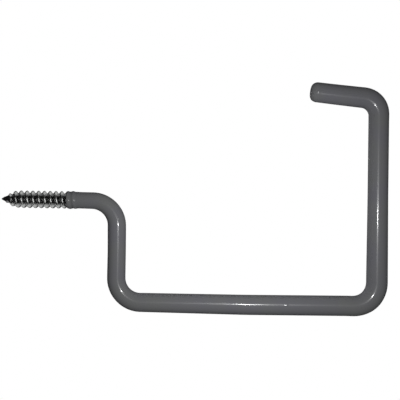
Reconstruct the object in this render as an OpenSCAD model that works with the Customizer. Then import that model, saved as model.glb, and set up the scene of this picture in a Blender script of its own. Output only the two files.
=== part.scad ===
// Screw-in ladder hook: a lag-threaded steel rod bent into a deep open cradle and dipped in soft vinyl.
// The screw's axis is X, the wall's face is the plane X = 0, and Z is up. Sizes are in millimetres.

/* [Cradle] */
// Wall to the centreline of the drop
wall_gap = 24.7; // [23:0.1:40]
// Screw's axis down to the centreline of the arm
drop_height = 49.6; // [36:0.2:90]
// Centreline of the drop to the centreline of the post
cradle_span = 127; // [60:1:200]
// Centreline of the arm up to where the lip leaves the post
post_height = 101.2; // [50:0.2:160]
// Centreline of the post to the free end of the lip
lip_length = 33.6; // [24:0.2:60]
// Rise of the lip toward its free end, in degrees
lip_rise = 5.7; // [0:0.1:15]
// Centreline radius of the three bends below the lip
bend_radius = 12; // [9:0.1:15]
// Centreline radius of the bend at the lip
lip_bend_radius = 8.6; // [7:0.1:12]

/* [Steel rod] */
// Diameter of the plain rod
rod_diameter = 7; // [6:0.1:7.6]

/* [Lag thread] */
// Diameter over the crests
thread_diameter = 8.5; // [7.7:0.05:8.8]
// Depth from crest to root
thread_depth = 1.3; // [0.7:0.05:1.4]
// Advance per turn
thread_pitch = 2.82; // [2.4:0.02:3.4]
// Width of the flat along a crest
crest_width = 0.8; // [0.3:0.05:0.9]
// Width of the floor of the groove between two ridges
root_width = 0.2; // [0.1:0.05:0.6]
// Wall to the tip of the point
screw_length = 31.8; // [22:0.2:60]
// Length over which the point tapers
point_length = 10; // [6:0.1:12]
// Length of smooth point before the ridge starts
bare_tip = 0.8; // [0.4:0.1:2]
// Length over which the ridge grows to its full height
ridge_growth = 5.5; // [2:0.1:7]
// Angle around the axis at which the ridge starts
thread_clock = 208; // [0:1:359]
// Length of thread that the coat covers
covered_thread = 4.9; // [3:0.1:5.5]

/* [Vinyl coat] */
// Thickness at the wall
coat_at_wall = 0.48; // [0.35:0.01:1]
// Thickness at the top of the drop
coat_at_drop_top = 0.7; // [0.4:0.01:1.5]
// Thickness at the foot of the drop
coat_at_drop_foot = 0.97; // [0.4:0.01:2]
// Thickness at the foot of the post
coat_at_post_foot = 1.65; // [0.4:0.01:2.2]
// Thickness at the top of the post
coat_at_post_top = 1.6; // [0.4:0.01:2.2]
// Thickness around the tip of the lip
coat_at_tip = 1.4; // [0.6:0.01:2.2]
// Thickness past the end of the rod
coat_past_rod = 1.6; // [0.8:0.1:4]
// Rounding of the edge at the tip
tip_round = 2.4; // [1:0.1:3]
// Film over the crests of the covered thread
crest_film = 0.15; // [0.1:0.01:0.6]

/* [Hidden] */
$fn = 64;

rod_r = rod_diameter / 2;
crest_r = thread_diameter / 2;
root_r = crest_r - thread_depth;
flank = (thread_pitch - crest_width - root_width) / 2;
crest_middle = flank + crest_width / 2;

// Bends in the order of the rod; a positive one turns down from the way the rod is heading
bends = [90, -90, -90, lip_rise - 90];
bend_radii = [bend_radius, bend_radius, bend_radius, lip_bend_radius];
lip_setback = lip_bend_radius * tan((90 - lip_rise) / 2);

// Straight legs between the bends, from the wall to the tip of the lip
legs = [
    wall_gap - bend_radius,
    drop_height - 2 * bend_radius,
    cradle_span - 2 * bend_radius,
    post_height - bend_radius - lip_setback,
    lip_length - lip_setback
];

// Outside radius of the coat at the wall, at each bend and at the tip
coat_radii = [
    rod_r + coat_at_wall,
    rod_r + coat_at_drop_top,
    rod_r + coat_at_drop_foot,
    rod_r + coat_at_post_foot,
    rod_r + coat_at_post_top,
    rod_r + coat_at_tip
];
rod_radii = [for (r = coat_radii) rod_r];

// The ridge starts a little way up the point, and both it and the ripples in the coat are cut into flats
ridge_start = bare_tip - screw_length;
ridge_end = covered_thread;
flats = 24;
// The ripples fade out over this length past the ridge, and the round coat starts at twice that
ripple_fade = 0.5;
collar_end = covered_thread + 2 * ripple_fade;
// A faceted skin ends this far inside the round bar that takes over from it
tuck = 0.08;

// The chain of legs with its first leg started later and its last leg ended sooner
function trimmed(first, last) = [
    for (i = [0:len(legs) - 1]) legs[i] - (i == 0 ? first : 0) - (i == len(legs) - 1 ? last : 0)
];

function ramp(from, to, x) = min(1, max(0, (x - from) / (to - from)));

// Radius of the screw at a place along its axis, for a share of the ridge's height
function screw_radius(x, share) =
    let (along = ramp(-screw_length, point_length - screw_length, x),
         run_out = ramp(ridge_end - thread_pitch / 2, ridge_end, x),
         ridge = ramp(ridge_start, ridge_start + ridge_growth, x) * (1 - run_out),
         core = root_r * sin(90 * along))
    core + (rod_r - tuck - root_r) * run_out + share * thread_depth * ridge;

// Radius of the coat over the covered thread, where the ridge shows through as a ripple
function collar_radius(x, share) =
    let (height = max(0, crest_r + crest_film - coat_radii[0]),
         fade = 1 - ramp(covered_thread - thread_pitch / 2, covered_thread + ripple_fade, x))
    coat_radii[0] - tuck / 2 + share * (height + tuck / 2) * fade;

// Cross-section of a ridge as [place along the axis, share of the height]
ridge_profile = [
    [0, 0],
    [flank, 1],
    [flank + crest_width, 1],
    [2 * flank + crest_width, 0]
];
ripple_profile = [
    for (p = [[-0.4, 0], [-0.2, 0.7], [-0.06, 1], [0.06, 1], [0.2, 0.7], [0.4, 0]])
        [crest_middle + p[0] * thread_pitch, p[1]]
];

// Solid skin of a right-hand helical ridge along X, whose rows of flats climb one pitch in each turn
module helical_skin(start, turns, profile, radius, tip) {
    step = len(profile);
    last = step * turns;

    function place(i, a) = start + thread_pitch * (floor(i / step) + a / flats) + profile[i % step][0];
    function corner(i, a) =
        let (x = place(i, a), r = radius(x, profile[i % step][1]), turn = thread_clock + 360 * a / flats)
        [x, r * cos(turn), r * sin(turn)];
    // The seam joins the last flat of one turn to the first flat of the next
    function at(i, a) = a < flats ? i * flats + a : (i + step) * flats;

    count = (last + 1) * flats;
    points = [
        for (i = [0:last], a = [0:flats - 1]) corner(i, a),
        [tip, 0, 0],
        [place(last, flats), 0, 0]
    ];
    side = [
        for (i = [0:last - 1], a = [0:flats - 1])
            if (a < flats - 1 || i + 1 + step <= last)
                each [[at(i, a), at(i + 1, a), at(i, a + 1)], [at(i + 1, a), at(i + 1, a + 1), at(i, a + 1)]]
    ];
    front_rim = [
        for (a = [0:flats - 1]) at(0, a),
        for (i = [step:-1:1]) at(i, 0)
    ];
    back_rim = [
        for (a = [0:flats - 1]) at(last, a),
        for (i = [last - 1:-1:last - step]) at(i, flats - 1)
    ];
    front = [for (k = [0:len(front_rim) - 1]) [front_rim[k], front_rim[(k + 1) % len(front_rim)], count]];
    back = [for (k = [0:len(back_rim) - 1]) [back_rim[(k + 1) % len(back_rim)], back_rim[k], count + 1]];

    polyhedron(points, concat(side, front, back));
}

// One bend of a round bar that arrives along X at the origin
module elbow(i, r) {
    rotate([bends[i] > 0 ? 0 : 180, 0, 0])
        translate([0, 0, -bend_radii[i]])
            rotate([0, -90, -90])
                rotate_extrude(angle = abs(bends[i]))
                    translate([bend_radii[i], 0])
                        circle(r);
}

// Carries its children round a bend
module past_elbow(i) {
    offset_z = sign(bends[i]) * bend_radii[i];
    translate([0, 0, -offset_z])
        rotate([0, bends[i], 0])
            translate([0, 0, offset_z])
                children();
}

// Round bar along the legs and bends from the origin, tapering evenly on each leg; children sit on its end
module bent_bar(bar_legs, radii, i = 0) {
    // A leg after a bend starts inside that bend, a hair thinner, so that the two grow into one bar
    seat = i > 0 ? 0.3 : 0;
    hair = i > 0 ? 0.02 : 0;
    translate([-seat, 0, 0])
        rotate([0, 90, 0])
            cylinder(h = bar_legs[i] + seat, r1 = radii[i] - hair, r2 = radii[i + 1]);
    translate([bar_legs[i], 0, 0])
        if (i < len(bends)) {
            elbow(i, radii[i + 1]);
            past_elbow(i)
                bent_bar(bar_legs, radii, i + 1)
                    children();
        } else {
            children();
        }
}

// Tip of the coat: a flat end with a round edge
module round_tip(r) {
    rotate([0, 90, 0])
        rotate_extrude() {
            square([r - tip_round, tip_round]);
            translate([r - tip_round, 0])
                intersection() {
                    circle(tip_round);
                    square(tip_round);
                }
        }
}

module rod_shape() {
    helical_skin(ridge_start, ceil((ridge_end - ridge_start) / thread_pitch), ridge_profile,
        function (x, share) screw_radius(x, share), -screw_length);
    translate([ridge_end, 0, 0])
        bent_bar(trimmed(ridge_end, coat_past_rod), rod_radii);
}

// The dip as it would be without a rod inside it
module dip_shape() {
    // Whole turns from the ridge's start to just outside the wall keep the ripples over the ridge
    skipped = floor((-thread_pitch - ridge_start) / thread_pitch) - 1;
    start = ridge_start + skipped * thread_pitch;
    difference() {
        helical_skin(start, ceil((collar_end - start) / thread_pitch), ripple_profile,
            function (x, share) collar_radius(x, share), start);
        rotate([0, -90, 0])
            cylinder(h = screw_length, r = 2 * crest_r);
    }
    translate([collar_end, 0, 0])
        bent_bar(trimmed(collar_end, tip_round), coat_radii)
            round_tip(coat_radii[5]);
}

module steel_rod() {
    color([0.66, 0.67, 0.68])
        rod_shape();
}

module vinyl_coating() {
    color([0.3, 0.3, 0.32])
        difference() {
            dip_shape();
            rod_shape();
        }
}

steel_rod();
vinyl_coating();
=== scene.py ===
"""Looks of a screw-in ladder hook: a zinc-plated lag screw and its dipped vinyl skin.

Lengths are in millimetres here and become metres where a mesh, a lamp or the camera is made.
X runs out of the wall along the screw, Z is up, and the hook lies in the XZ plane.
"""

import math

import bmesh
import bpy
import numpy as np
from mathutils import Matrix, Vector


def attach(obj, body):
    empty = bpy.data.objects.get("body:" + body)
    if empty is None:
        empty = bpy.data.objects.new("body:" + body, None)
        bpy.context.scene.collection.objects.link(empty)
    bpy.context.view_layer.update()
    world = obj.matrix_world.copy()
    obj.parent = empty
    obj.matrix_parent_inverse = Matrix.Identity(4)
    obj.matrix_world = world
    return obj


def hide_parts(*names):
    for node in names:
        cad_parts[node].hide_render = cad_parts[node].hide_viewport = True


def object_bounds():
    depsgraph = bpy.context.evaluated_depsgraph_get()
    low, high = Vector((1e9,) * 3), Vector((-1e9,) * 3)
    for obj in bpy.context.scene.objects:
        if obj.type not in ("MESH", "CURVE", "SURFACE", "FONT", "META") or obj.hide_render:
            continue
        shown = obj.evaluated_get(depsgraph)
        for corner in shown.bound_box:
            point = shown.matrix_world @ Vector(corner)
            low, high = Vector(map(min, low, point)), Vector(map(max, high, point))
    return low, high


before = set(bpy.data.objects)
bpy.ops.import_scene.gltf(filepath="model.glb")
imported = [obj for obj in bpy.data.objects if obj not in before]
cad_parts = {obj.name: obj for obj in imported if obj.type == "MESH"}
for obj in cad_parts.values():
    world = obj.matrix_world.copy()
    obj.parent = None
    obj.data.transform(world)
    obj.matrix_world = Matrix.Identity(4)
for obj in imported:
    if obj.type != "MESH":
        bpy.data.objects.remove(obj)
cad_low, cad_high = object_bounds()

MM = 0.001

# Centreline of the rod
WALL_GAP = 24.7
DROP_HEIGHT = 49.6
CRADLE_SPAN = 127.0
POST_HEIGHT = 101.2
LIP_LENGTH = 33.6
LIP_RISE = 5.7
BEND_RADIUS = 12.0
LIP_BEND_RADIUS = 8.6
LIP_SETBACK = LIP_BEND_RADIUS * math.tan(math.radians(90 - LIP_RISE) / 2)
# Straight runs in the order of the rod, each with the turn after it in degrees and that turn's radius
RUNS = [
    (WALL_GAP - BEND_RADIUS, -90.0, BEND_RADIUS),
    (DROP_HEIGHT - 2 * BEND_RADIUS, 90.0, BEND_RADIUS),
    (CRADLE_SPAN - 2 * BEND_RADIUS, 90.0, BEND_RADIUS),
    (POST_HEIGHT - BEND_RADIUS - LIP_SETBACK, 90.0 - LIP_RISE, LIP_BEND_RADIUS),
    (LIP_LENGTH - LIP_SETBACK, 0.0, 0.0),
]
# Length along the centreline from the wall to the tip of the lip
HOOK_PATH = sum(run + radius * math.radians(abs(turn)) for run, turn, radius in RUNS)

# Steel rod and its lag thread
ROD_R = 3.5
CREST_R = 4.25
THREAD_DEPTH = 1.3
ROOT_R = CREST_R - THREAD_DEPTH
THREAD_PITCH = 2.82
CREST_WIDTH = 0.8
ROOT_WIDTH = 0.2
FLANK_WIDTH = (THREAD_PITCH - CREST_WIDTH - ROOT_WIDTH) / 2
SCREW_LENGTH = 31.8
POINT_LENGTH = 10.0
BARE_TIP = 0.8
RIDGE_START = BARE_TIP - SCREW_LENGTH
FIRST_CREST = RIDGE_START + FLANK_WIDTH + CREST_WIDTH / 2
RIDGE_GROWTH = 5.5
THREAD_CLOCK = math.radians(208)
COVERED_THREAD = 4.9
RUN_OUT_START = COVERED_THREAD - THREAD_PITCH / 2
# How full the point is: 1 is the plain curve of a sine, and less swells it out near the tip
POINT_SWELL = 0.73
# Share of a flank over which its two edges are rounded
EDGE_SOFTNESS = 0.44

# Vinyl skin
CREST_FILM = 0.15
RIPPLE_REACH = THREAD_PITCH / 2
COLLAR_LENGTH = 5.9
SKIN_START = 0.6
EDGE_ROUND = 0.15
TIP_LENGTH = 3.2
TIP_START = HOOK_PATH - TIP_LENGTH
TIP_ROUND = 2.6
COAT_PAST_ROD = 1.6
ROD_END = HOOK_PATH - COAT_PAST_ROD
# Small lumps that the dip left on the front of the arm and of the lip, each by its place along the rod
# and its angle round it
LUMPS = [(146.7, math.radians(171)), (314.6, math.radians(174))]
LUMP_SIZE = 0.7
LUMP_REACH = 2 * LUMP_SIZE
LUMP_HEIGHT = 0.09
# Outside radius of the skin at the start, middle and end of each run, and in the middle of the bend after
# it; it is thicker over the covered thread, and thickens toward the end that was dipped first
SKIN_RADII = [
    (4.15, 4.0, 4.05, 4.25),
    (4.45, 4.4, 4.45, 4.45),
    (4.6, 4.85, 4.9, 5.05),
    (5.1, 4.85, 4.85, 5.1),
    (5.0, 4.9, 4.8),
]
# How far the bent bar strays there from its drawn centreline, to the left of the way it runs
SKIN_STRAY = [
    (0.0, -0.05, -0.15, -0.2),
    (0.0, 0.15, 0.1, 0.2),
    (0.2, -0.15, 0.2, -0.5),
    (-0.3, -0.1, 0.1, 0.05),
    (0.1, 0.15, 0.1),
]
# Half the length of rod over which the values in between are evened out, and the samples taken there
EVEN_OUT = 3.0
EVEN_SAMPLES = 13

# Fineness of the meshes: points round the rod, rows in a turn of the thread, and rings over the rim,
# the tip and each lump
SIDES = 96
ANGLES = THREAD_CLOCK + np.arange(SIDES) * 2 * math.pi / SIDES
THREAD_ROWS = 24
EDGE_RINGS = 6
TIP_RINGS = 20
LUMP_RINGS = 21
# Distances along the rod from ring to ring, and between the places where its heading is taken
COLLAR_STEP = 0.12
SKIN_STEP = 1.0
INNER_STEP = 3.0
HEADING_STEP = 0.5
# Spare turns of rows before the first crest and past the thread, which gather at the tip and at the
# plain rod
TURNS_BEFORE = 3
TURNS_PAST = 2
# Points closer together than this are joined
JOIN_DISTANCE = 0.001


def stations():
    """Places along the rod at the start, middle and end of each run, and in the middle of each bend."""
    places = []
    start = 0.0
    for run, turn, radius in RUNS:
        arc = radius * math.radians(abs(turn))
        places += [start, start + run / 2, start + run]
        if arc > 0:
            places.append(start + run + arc / 2)
        start += run + arc
    return places


def between(values, place):
    """Value at a place along the rod, read between the stations and evened out over a short length."""
    around = place + np.linspace(-EVEN_OUT, EVEN_OUT, EVEN_SAMPLES)
    return np.interp(around, stations(), np.concatenate(values)).mean()


def walk(place):
    """Point (x, z) and heading of the centreline at a distance from the wall's face."""
    x, z, heading = 0.0, 0.0, 0.0
    for run, turn, radius in RUNS:
        step = min(place, run)
        x += step * math.cos(heading)
        z += step * math.sin(heading)
        place -= step
        if place <= 0 or radius == 0:
            break
        way = math.copysign(radius, turn)
        centre_x = x - way * math.sin(heading)
        centre_z = z + way * math.cos(heading)
        arc = min(place, radius * math.radians(abs(turn)))
        heading += arc / way
        x = centre_x + way * math.sin(heading)
        z = centre_z - way * math.cos(heading)
        place -= arc
    return x, z, heading


def ring(place, radii, stray=0.0):
    """Points at the radii given for ANGLES round the centreline, moved by stray to the left of its way."""
    x, z, heading = walk(place)
    across = radii * np.cos(ANGLES)
    up = stray + radii * np.sin(ANGLES)
    return np.column_stack((x - up * math.sin(heading), across, z + up * math.cos(heading)))


def ramp(start, end, x):
    """Share of the way from start to end, held at 0 before and at 1 past it."""
    return np.clip((x - start) / (end - start), 0, 1)


def from_crest(x, angle):
    """Distance along the screw to the middle of the thread's nearest crest."""
    turns = (x - FIRST_CREST) / THREAD_PITCH - (angle - THREAD_CLOCK) / (2 * math.pi)
    return np.abs(turns - np.round(turns)) * THREAD_PITCH


def soft_floor(t):
    """The larger of t and 0, with the corner rounded."""
    rounded = (t + EDGE_SOFTNESS) ** 2 / (4 * EDGE_SOFTNESS)
    return np.where(np.abs(t) < EDGE_SOFTNESS, rounded, np.maximum(t, 0))


def ridge_rise(x, angle):
    """Height of the ridge at a place along the screw and an angle round it, in thread depths."""
    growth = ramp(RIDGE_START, RIDGE_START + RIDGE_GROWTH, x)
    half_base = growth * (CREST_WIDTH / 2 + FLANK_WIDTH)
    flank = (half_base - from_crest(x, angle)) / FLANK_WIDTH
    return soft_floor(flank) - soft_floor(flank - growth)


def screw_radius(x, angle):
    """Radius of the threaded rod at a place along its axis and an angle round it."""
    run_out = ramp(RUN_OUT_START, COVERED_THREAD, x)
    ridge = THREAD_DEPTH * ridge_rise(x, angle) * (1 - run_out)
    along = ramp(-SCREW_LENGTH, POINT_LENGTH - SCREW_LENGTH, x)
    core = ROOT_R * np.sin(along * math.pi / 2) ** POINT_SWELL
    return core + (ROD_R - ROOT_R) * run_out + ridge


def skin_radius(place):
    """Outside radius of the skin on each side at a place along the rod, with its ripples and lumps."""
    plain = between(SKIN_RADII, place)
    crest = np.clip(from_crest(place, ANGLES) / RIPPLE_REACH, 0, 1)
    ripple = np.cos(crest * math.pi / 2) ** 2
    fade = 1 - ramp(RUN_OUT_START, COLLAR_LENGTH, place)
    radii = plain + (CREST_R + CREST_FILM - plain) * ripple * fade
    for lump_place, lump_angle in LUMPS:
        turn = np.arctan2(np.sin(ANGLES - lump_angle), np.cos(ANGLES - lump_angle))
        distance = np.hypot(place - lump_place, plain * turn) / LUMP_SIZE
        radii = radii + LUMP_HEIGHT * np.exp(-distance ** 2)
    return radii


def skin_ring(place, cut=0.0):
    """Ring of the skin's outside, less a cut where an edge is rounded."""
    return ring(place, skin_radius(place) - cut, between(SKIN_STRAY, place))


def bore_rings():
    """Rings of the bore, from the end of the rod back to the rim at the wall."""
    places = [
        *np.arange(SKIN_START, COLLAR_LENGTH, COLLAR_STEP),
        *np.arange(COLLAR_LENGTH, ROD_END, INNER_STEP),
        ROD_END,
    ]
    return [ring(place, screw_radius(place, ANGLES)) for place in reversed(places)]


def rim_rings():
    """Rings over the rounded rim at the wall, outward from the bore."""
    rings = []
    for turn in np.linspace(math.pi / 2, 0, EDGE_RINGS):
        place = SKIN_START + EDGE_ROUND * (1 - math.sin(turn))
        rings.append(skin_ring(place, EDGE_ROUND * (1 - math.cos(turn))))
    return rings


def side_rings():
    """Rings along the outside, closer together on the collar and over the lumps."""
    places = [
        *np.arange(SKIN_START + EDGE_ROUND + COLLAR_STEP, COLLAR_LENGTH, COLLAR_STEP),
        *np.arange(COLLAR_LENGTH, TIP_START, SKIN_STEP),
    ]
    for lump_place, _ in LUMPS:
        near = np.linspace(lump_place - LUMP_REACH, lump_place + LUMP_REACH, LUMP_RINGS)
        places += list(near[near < TIP_START])
    return [skin_ring(place) for place in sorted(places)]


def tip_rings():
    """Rings over the rounded tip of the lip."""
    rings = []
    for turn in np.linspace(0, math.pi / 2, TIP_RINGS):
        place = TIP_START + TIP_LENGTH * math.sin(turn)
        rings.append(skin_ring(place, TIP_ROUND * (1 - math.cos(turn))))
    return rings


def thread_rows():
    """Rows of points that climb with the thread, from the tip to the plain rod."""
    turns = math.ceil((SCREW_LENGTH + COVERED_THREAD) / THREAD_PITCH)
    offsets = np.arange(THREAD_ROWS) * THREAD_PITCH / THREAD_ROWS
    climb = (ANGLES - THREAD_CLOCK) / (2 * math.pi)
    rows = []
    for turn in range(-TURNS_BEFORE, turns + TURNS_PAST):
        for offset in offsets:
            x = FIRST_CREST + THREAD_PITCH * (turn + climb) + offset
            x = np.clip(x, -SCREW_LENGTH, COVERED_THREAD)
            radii = screw_radius(x, ANGLES)
            rows.append(np.column_stack((x, radii * np.cos(ANGLES), radii * np.sin(ANGLES))))
    return rows


def bar_rings():
    """Rings of the plain rod, from the end of the thread to the rod's end."""
    places = [COVERED_THREAD, *np.arange(COVERED_THREAD + INNER_STEP, ROD_END, INNER_STEP), ROD_END]
    return [ring(place, np.full(SIDES, ROD_R)) for place in places]


def grid_faces(first, rows, lead):
    """Quads between rows of points from index first on.

    The last side of a row meets the first side of the row that is lead further on.
    """
    faces = []
    for i in range(rows - 1 - lead):
        for j in range(SIDES):
            here = first + i * SIDES + j
            across = here + 1 if j < SIDES - 1 else first + (i + lead) * SIDES
            faces.append((here, here + SIDES, across + SIDES, across))
    return faces


def end_fan(points, first, place):
    """Adds the point on the centreline that closes a ring and returns the fan of faces to it.

    The ring's points start at index first.
    """
    x, z, _ = walk(place)
    points.append((x, 0.0, z))
    tip = len(points) - 1
    return [(tip, first + j, first + (j + 1) % SIDES) for j in range(SIDES)]


def mesh_piece(name, points, faces, material):
    """Object made of points in millimetres, with doubled points joined and all faces turned outward."""
    mesh = bpy.data.meshes.new(name)
    mesh.from_pydata([tuple(p) for p in np.asarray(points) * MM], [], faces)
    work = bmesh.new()
    work.from_mesh(mesh)
    bmesh.ops.remove_doubles(work, verts=work.verts, dist=JOIN_DISTANCE * MM)
    bmesh.ops.recalc_face_normals(work, faces=work.faces)
    for face in work.faces:
        face.smooth = True
    work.to_mesh(mesh)
    work.free()
    mesh.materials.append(material)
    piece = bpy.data.objects.new(name, mesh)
    bpy.context.scene.collection.objects.link(piece)
    return piece


def make_screw(material):
    """Threaded rod with its gimlet point, and the plain bar that runs on inside the skin."""
    rows = thread_rows()
    bar = bar_rings()
    points = [p for row in rows + bar for p in row]
    faces = grid_faces(0, len(rows), THREAD_ROWS) + grid_faces(len(rows) * SIDES, len(bar), 0)
    faces += end_fan(points, (len(rows) + len(bar) - 1) * SIDES, ROD_END)
    screw = mesh_piece("threaded_rod", points, faces, material)
    add_rise(screw.data)
    return screw


def add_rise(mesh):
    """Stores the height of the ridge at each point of a mesh, by which painted shade darkens its plate
    toward the roots.
    """
    points = np.array([vert.co for vert in mesh.vertices]) / MM
    rise = ridge_rise(points[:, 0], np.arctan2(points[:, 2], points[:, 1]))
    mesh.attributes.new("rise", "FLOAT", "POINT").data.foreach_set("value", rise)


def make_skin(material):
    """Skin from the end of its bore back to the wall, over the rim and along the outside to the tip."""
    rings = bore_rings() + rim_rings() + side_rings() + tip_rings()
    points = [p for one in rings for p in one]
    faces = grid_faces(0, len(rings), 0)
    faces += end_fan(points, 0, ROD_END)
    faces += end_fan(points, (len(rings) - 1) * SIDES, HOOK_PATH)
    skin = mesh_piece("vinyl_skin", points, faces, material)
    add_heading(skin.data)
    return skin


def add_heading(mesh):
    """Stores the way the rod runs at each point of a mesh, along which its highlights are drawn out."""
    places = np.arange(0, HOOK_PATH, HEADING_STEP)
    line = np.array([walk(place) for place in places])
    points = np.array([vert.co for vert in mesh.vertices]) / MM
    gaps = (points[:, None, 0] - line[None, :, 0]) ** 2 + (points[:, None, 2] - line[None, :, 1]) ** 2
    turns = line[np.argmin(gaps, axis=1), 2]
    ways = np.column_stack((np.cos(turns), np.zeros(len(turns)), np.sin(turns)))
    mesh.attributes.new("heading", "FLOAT_VECTOR", "POINT").data.foreach_set("vector", ways.ravel())


def add_node(tree, kind, **values):
    """New node whose inputs and settings are given by name; an output given as a value is linked."""
    made = tree.nodes.new(kind)
    for name, value in values.items():
        key = name.replace("_", " ")
        if key in made.inputs:
            if isinstance(value, bpy.types.NodeSocket):
                tree.links.new(value, made.inputs[key])
            else:
                made.inputs[key].default_value = value
        else:
            setattr(made, name, value)
    return made


def new_material(name):
    """Material with an empty node tree and its output."""
    material = bpy.data.materials.new(name)
    material.use_nodes = True
    material.node_tree.nodes.clear()
    output = material.node_tree.nodes.new("ShaderNodeOutputMaterial")
    return material, material.node_tree, output


def noise(tree, cells, detail):
    """Noise all through a piece, with so many cells in a metre and so many finer layers."""
    where = add_node(tree, "ShaderNodeTexCoord").outputs["Object"]
    return add_node(tree, "ShaderNodeTexNoise", Vector=where, Scale=cells, Detail=detail).outputs["Fac"]


def tinted(tree, value, limits, tints):
    """Colour that goes from the first tint to the second while a value rises between two limits."""
    scale = add_node(tree, "ShaderNodeValToRGB", Fac=value)
    for stop, limit, tint in zip(scale.color_ramp.elements, limits, tints):
        stop.position = limit
        stop.color = tint
    return scale.outputs["Color"]


def spread(tree, value, low, high):
    """Number that goes from low to high while a value rises from 0 to 1."""
    return add_node(tree, "ShaderNodeMapRange", Value=value, To_Min=low, To_Max=high).outputs["Result"]


# Vinyl: two greys that pass into each other, between two limits of a noise that is given, as each noise
# here is, by its cells in a metre and its finer layers
VINYL_TINTS = [(0.112, 0.112, 0.124, 1), (0.117, 0.119, 0.12, 1)]
VINYL_TINT_LIMITS = (0.35, 0.65)
VINYL_PATCHES = (70.0, 3.0)
# A fine grain in the roughness of its broad shine, which is drawn out along the rod
VINYL_GRAIN = (900.0, 2.0)
VINYL_ROUGHNESS = (0.26, 0.34)
VINYL_IOR = 1.45
VINYL_SHINE = 0.22
VINYL_DRAWN_OUT = 0.6
# The sharp gloss on top, and slight waves in the surface
VINYL_GLOSS = 0.44
VINYL_GLOSS_ROUGHNESS = 0.145
VINYL_WAVES = (260.0, 1.0)
VINYL_WAVE_HEIGHT = 0.004


def vinyl():
    """Grey dip with a sharp gloss over a broad shine along the rod."""
    material, tree, output = new_material("grey_vinyl")
    waves = noise(tree, *VINYL_WAVES)
    bump = add_node(tree, "ShaderNodeBump", Height=waves, Strength=1.0, Distance=VINYL_WAVE_HEIGHT * MM)
    heading = add_node(tree, "ShaderNodeAttribute", attribute_name="heading")
    shader = add_node(
        tree, "ShaderNodeBsdfPrincipled",
        Base_Color=tinted(tree, noise(tree, *VINYL_PATCHES), VINYL_TINT_LIMITS, VINYL_TINTS),
        Roughness=spread(tree, noise(tree, *VINYL_GRAIN), *VINYL_ROUGHNESS),
        Normal=bump.outputs["Normal"],
        IOR=VINYL_IOR,
        Specular_IOR_Level=VINYL_SHINE,
        Anisotropic=VINYL_DRAWN_OUT,
        Tangent=heading.outputs["Vector"],
        Coat_Weight=VINYL_GLOSS,
        Coat_Roughness=VINYL_GLOSS_ROUGHNESS,
        Coat_Normal=bump.outputs["Normal"],
    )
    tree.links.new(shader.outputs["BSDF"], output.inputs["Surface"])
    return material


# Zinc plate: its colour in the roots, darkened there as painted shade, and its own colour on the crests,
# the heights between which one passes into the other, and its colour at a glancing view
PLATE_SHADED_ROOT_AND_CREST = [(0.3, 0.3, 0.31, 1), (0.6, 0.61, 0.6, 1)]
PLATE_ROOT_SHADE_LIMITS = (0.1, 0.4)
PLATE_EDGE_TINT = (0.35, 0.35, 0.35, 1)
# Patches in its roughness, and a thin bright gloss on top
PLATE_PATCHES = (900.0, 3.0)
PLATE_ROUGHNESS = (0.2, 0.34)
PLATE_GLOSS = 0.4
PLATE_GLOSS_ROUGHNESS = 0.15


def zinc():
    """Plate with painted shade that darkens it down in the roots, and its own colour on the crests."""
    material, tree, output = new_material("zinc_plate")
    rise = add_node(tree, "ShaderNodeAttribute", attribute_name="rise")
    shader = add_node(
        tree, "ShaderNodeBsdfPrincipled",
        # Painted shade: the plate's colour is darkened toward the roots of the thread by the ridge's
        # height
        Base_Color=tinted(tree, rise.outputs["Fac"], PLATE_ROOT_SHADE_LIMITS, PLATE_SHADED_ROOT_AND_CREST),
        Roughness=spread(tree, noise(tree, *PLATE_PATCHES), *PLATE_ROUGHNESS),
        Metallic=1.0,
        Specular_Tint=PLATE_EDGE_TINT,
        Coat_Weight=PLATE_GLOSS,
        Coat_Roughness=PLATE_GLOSS_ROUGHNESS,
    )
    tree.links.new(shader.outputs["BSDF"], output.inputs["Surface"])
    return material


# Camera: level and square to the hook, with the frame turned a little round the line of sight
VIEW_CENTRE = Vector((65.04, 0.0, 1.03))
VIEW_WIDTH = 195.2
CAMERA_DISTANCE = 290.0
CAMERA_ROLL = math.radians(-0.95)


def add_camera():
    """Camera whose view is VIEW_WIDTH wide in the plane of the hook."""
    data = bpy.data.cameras.new("camera")
    data.lens = data.sensor_width * CAMERA_DISTANCE / VIEW_WIDTH
    camera = bpy.data.objects.new("camera", data)
    camera.location = (VIEW_CENTRE - Vector((0, CAMERA_DISTANCE, 0))) * MM
    camera.rotation_euler = (math.pi / 2, CAMERA_ROLL, 0)
    bpy.context.scene.collection.objects.link(camera)
    bpy.context.scene.camera = camera


# Key lamp: small and in front of the cradle, so that the skin's highlights are short; power is in watts
KEY_PLACE = (102.2, -185.0, -7.7)
KEY_SIZE = 6.0
KEY_POWER = 0.145
# Softboxes in front of the cradle, above and behind, which light the hook but aren't mirrored in it
FILL_PLACE = (82.0, -110.0, 0.0)
FILL_SIZE = 36.0
FILL_POWER = 0.076
TOP_PLACE = (65.0, 0.0, 700.0)
TOP_SIZE = 300.0
TOP_POWER = 0.3
REAR_PLACE = (-190.0, 600.0, 220.0)
REAR_SIZE = 300.0
REAR_POWER = 3.4


def add_lamp(name, place, size, power, mirrored):
    """Round lamp aimed at the middle of the view, which gloss mirrors or not."""
    data = bpy.data.lights.new(name, "AREA")
    data.shape = "DISK"
    data.size = size * MM
    data.energy = power
    lamp = bpy.data.objects.new(name, data)
    lamp.location = Vector(place) * MM
    aim = VIEW_CENTRE * MM - lamp.location
    lamp.rotation_euler = aim.to_track_quat("-Z", "Y").to_euler()
    lamp.visible_glossy = mirrored
    bpy.context.scene.collection.objects.link(lamp)
    return lamp


# Strength of what is seen as white, and of the light that the world gives
SEEN_WHITE = 1.0
AMBIENT = 0.25
# Floor: how far below the hook it lies, its width, and how pale its paint is
FLOOR_DROP = 600.0
FLOOR_SIZE = 2400.0
FLOOR_PAINT = 0.8


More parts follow.
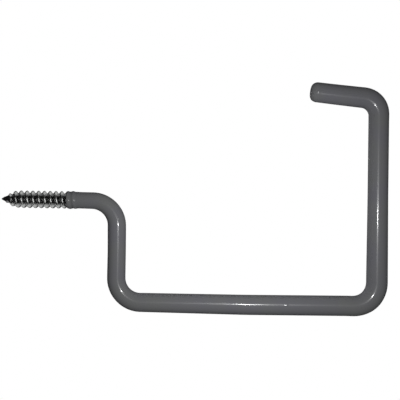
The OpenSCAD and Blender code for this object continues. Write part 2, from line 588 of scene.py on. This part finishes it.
def shown_strength(tree, unseen, seen):
    """Strength with one value for what the camera, gloss and glass see, and one for the light it gives."""
    path = add_node(tree, "ShaderNodeLightPath")
    first = add_node(tree, "ShaderNodeMath", operation="MAXIMUM")
    tree.links.new(path.outputs["Is Camera Ray"], first.inputs[0])
    tree.links.new(path.outputs["Is Glossy Ray"], first.inputs[1])
    second = add_node(tree, "ShaderNodeMath", operation="MAXIMUM")
    tree.links.new(first.outputs["Value"], second.inputs[0])
    tree.links.new(path.outputs["Is Transmission Ray"], second.inputs[1])
    return spread(tree, second.outputs["Value"], unseen, seen)


def add_world():
    """White as the camera, gloss and glass see it, and a softer light on the hook."""
    world = bpy.data.worlds.new("studio")
    bpy.context.scene.world = world
    world.use_nodes = True
    background = world.node_tree.nodes["Background"]
    background.inputs["Color"].default_value = (1, 1, 1, 1)
    strength = shown_strength(world.node_tree, AMBIENT, SEEN_WHITE)
    world.node_tree.links.new(strength, background.inputs["Strength"])


def add_floor():
    """Pale floor that glows, where it is seen, by what its paint lacks to be white."""
    material, tree, output = new_material("pale_floor")
    paint = add_node(tree, "ShaderNodeBsdfDiffuse", Color=(FLOOR_PAINT, FLOOR_PAINT, FLOOR_PAINT, 1))
    strength = shown_strength(tree, 0.0, SEEN_WHITE - FLOOR_PAINT * AMBIENT)
    glow = add_node(tree, "ShaderNodeEmission", Strength=strength)
    both = add_node(tree, "ShaderNodeAddShader")
    tree.links.new(paint.outputs["BSDF"], both.inputs[0])
    tree.links.new(glow.outputs["Emission"], both.inputs[1])
    tree.links.new(both.outputs["Shader"], output.inputs["Surface"])
    half = FLOOR_SIZE / 2
    level = cad_low.z / MM - FLOOR_DROP
    corners = [(-half, -half, level), (half, -half, level), (half, half, level), (-half, half, level)]
    mesh_piece("floor", corners, [(0, 1, 2, 3)], material)


# Dome that only gloss shows: dark, but for a white part and cards that only the plated screw mirrors
DOME_RADIUS = 560.0
DOME_SEGMENTS = 64
DOME_RINGS = 32
DOME_DARK = 0.015
DOME_WHITE = 0.7
DOME_CARDS = 2.0
# Limits of the white as shares of the radius: how far it comes forward and to either side, and how far
# down it starts to run on past the sides
WHITE_FORWARD = 0.17
WHITE_ASIDE = 0.6
WHITE_LOW = 0.45
# The white is left out far back on the left, and farthest back in the lower half
SHADE_BACK = 0.45
SHADE_RIGHT = -0.1
SHADE_LOW_BACK = 0.75
# Cards in front of the hook: from where to where across the dome, and how far up and down
CARDS = [(0.35, 0.5), (0.83, 0.98)]
CARD_REACH = 0.3


def dome_part(point):
    """Part of the dome that a point belongs to: the cards, the white round the back, or the dark rest."""
    x, y, z = point / (DOME_RADIUS * MM)
    across = any(start < x < end for start, end in CARDS)
    if across and y < 0 and abs(z) < CARD_REACH:
        return "cards"
    band = y > -WHITE_FORWARD and (abs(x) < WHITE_ASIDE or z < -WHITE_LOW)
    shaded = (y > SHADE_BACK and x < SHADE_RIGHT) or (y > SHADE_LOW_BACK and z < 0)
    return "white" if band and not shaded else "dark"


def add_dome(name, part, strength):
    """One part of a dome round the hook, which shines for gloss alone."""
    material, tree, output = new_material(name)
    glow = add_node(tree, "ShaderNodeEmission", Strength=strength)
    tree.links.new(glow.outputs["Emission"], output.inputs["Surface"])
    ball = bmesh.new()
    radius = DOME_RADIUS * MM
    bmesh.ops.create_uvsphere(ball, u_segments=DOME_SEGMENTS, v_segments=DOME_RINGS, radius=radius)
    outside = [face for face in ball.faces if dome_part(face.calc_center_median()) != part]
    bmesh.ops.delete(ball, geom=outside, context="FACES")
    mesh = bpy.data.meshes.new(name)
    ball.to_mesh(mesh)
    ball.free()
    mesh.materials.append(material)
    dome = bpy.data.objects.new(name, mesh)
    dome.location = VIEW_CENTRE * MM
    dome.visible_camera = False
    dome.visible_diffuse = False
    dome.visible_transmission = False
    dome.visible_shadow = False
    bpy.context.scene.collection.objects.link(dome)
    return dome


def show_only_to(piece, source):
    """Limits a lamp or a part of the dome to one piece."""
    receivers = bpy.data.collections.new(source.name + "_receivers")
    receivers.objects.link(piece)
    source.light_linking.receiver_collection = receivers


add_camera()
key = add_lamp("key", KEY_PLACE, KEY_SIZE, KEY_POWER, mirrored=True)
add_lamp("fill_softbox", FILL_PLACE, FILL_SIZE, FILL_POWER, mirrored=False)
add_lamp("top_softbox", TOP_PLACE, TOP_SIZE, TOP_POWER, mirrored=False)
add_lamp("rear_softbox", REAR_PLACE, REAR_SIZE, REAR_POWER, mirrored=False)
add_world()
add_floor()
add_dome("dark_dome", "dark", DOME_DARK)

screw = make_screw(zinc())
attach(screw, "root")
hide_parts("steel_rod")
show_only_to(screw, add_dome("white_dome", "white", DOME_WHITE))
show_only_to(screw, add_dome("card_dome", "cards", DOME_CARDS))

skin = make_skin(vinyl())
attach(skin, "root")
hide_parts("vinyl_coating")
show_only_to(skin, key)

bpy.context.scene.view_settings.view_transform = "Standard"
